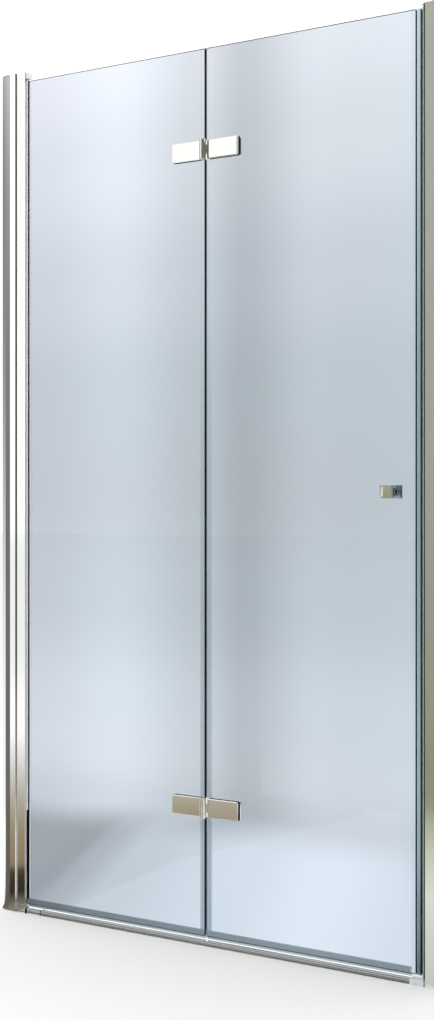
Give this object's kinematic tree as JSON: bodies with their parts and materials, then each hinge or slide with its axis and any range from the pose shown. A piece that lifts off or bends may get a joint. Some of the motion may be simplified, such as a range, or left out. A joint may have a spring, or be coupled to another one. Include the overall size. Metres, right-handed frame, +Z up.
{
  "type": "shower door",
  "caption": "Folding shower door: clear glass leaves hinged to each other and pivoted at a wall jamb, closing on a magnetic seal, with a low threshold strip.",
  "frame": {"origin": "bottom centre of the doorway on the floor, in the middle plane of the closed glass leaves", "axes": "+X along the doorway from the pivot jamb to the closing jamb, +Y from the outside into the shower, +Z up"},
  "size_m": [1.126, 0.052, 1.9],
  "materials": {
    "polished_aluminium": "bright polished and anodised",
    "chrome_plate": "bright chrome plate",
    "clear_glass": "clear toughened glass with polished edges",
    "clear_vinyl": "clear soft vinyl",
    "black_rubber": "matt black rubber",
    "white_plastic": "smooth white plastic",
    "grey_nylon": "plain grey nylon",
    "magnet_bar": "dark flexible magnet",
    "stainless_steel": "plain stainless steel"
  },
  "bodies": {
    "root": {"left_wall_channel": "polished_aluminium", "left_jamb_profile": "polished_aluminium", "left_jamb_cap": "chrome_plate", "left_jamb_foot": "polished_aluminium", "left_profile_screws": "stainless_steel", "top_pivot_block": "white_plastic", "top_pivot_bush": "grey_nylon", "top_block_screws": "stainless_steel", "bottom_pivot_block": "chrome_plate", "bottom_pivot_bush": "grey_nylon", "bottom_block_screw": "stainless_steel", "bottom_block_pads": "black_rubber", "threshold_strip": "polished_aluminium", "threshold_end_cap": "white_plastic", "right_wall_channel": "polished_aluminium", "right_jamb_profile": "polished_aluminium", "right_jamb_cap": "chrome_plate", "right_profile_screws": "stainless_steel", "jamb_magnet_strip": "clear_vinyl", "jamb_magnet_bar": "magnet_bar"},
    "left_leaf": {"left_glass": "clear_glass", "pivot_stile": "polished_aluminium", "stile_gasket": "black_rubber", "top_pivot_pin": "stainless_steel", "bottom_pivot_pin": "stainless_steel", "left_joint_seal": "clear_vinyl", "left_drip_seal": "clear_vinyl", "upper_hinge_left_plate": "chrome_plate", "upper_hinge_left_clamp": "chrome_plate", "upper_hinge_left_gaskets": "black_rubber", "upper_hinge_left_screws": "stainless_steel", "upper_hinge_pin": "chrome_plate", "lower_hinge_left_plate": "chrome_plate", "lower_hinge_left_clamp": "chrome_plate", "lower_hinge_left_gaskets": "black_rubber", "lower_hinge_left_screws": "stainless_steel", "lower_hinge_pin": "chrome_plate"},
    "right_leaf": {"right_glass": "clear_glass", "right_joint_seal": "clear_vinyl", "right_drip_seal": "clear_vinyl", "leaf_magnet_seal": "clear_vinyl", "leaf_magnet_bar": "magnet_bar", "upper_hinge_right_plate": "chrome_plate", "upper_hinge_right_clamp": "chrome_plate", "upper_hinge_right_gaskets": "black_rubber", "upper_hinge_right_screws": "stainless_steel", "lower_hinge_right_plate": "chrome_plate", "lower_hinge_right_clamp": "chrome_plate", "lower_hinge_right_gaskets": "black_rubber", "lower_hinge_right_screws": "stainless_steel", "outside_knob": "chrome_plate", "inside_knob": "chrome_plate", "knob_stud": "stainless_steel", "knob_washers": "white_plastic"}
  },
  "joints": [
    {"name": "left_leaf_swing", "type": "hinge", "parent": "root", "child": "left_leaf", "pos_m": [-0.501, 0, 0], "axis": [0, 0, 1], "range_deg": [0, 90]},
    {"name": "right_leaf_fold", "type": "hinge", "parent": "left_leaf", "child": "right_leaf", "pos_m": [-0.00855, -0.015, 0], "axis": [0, 0, 1], "range_deg": [-175, 0]}
  ]
}
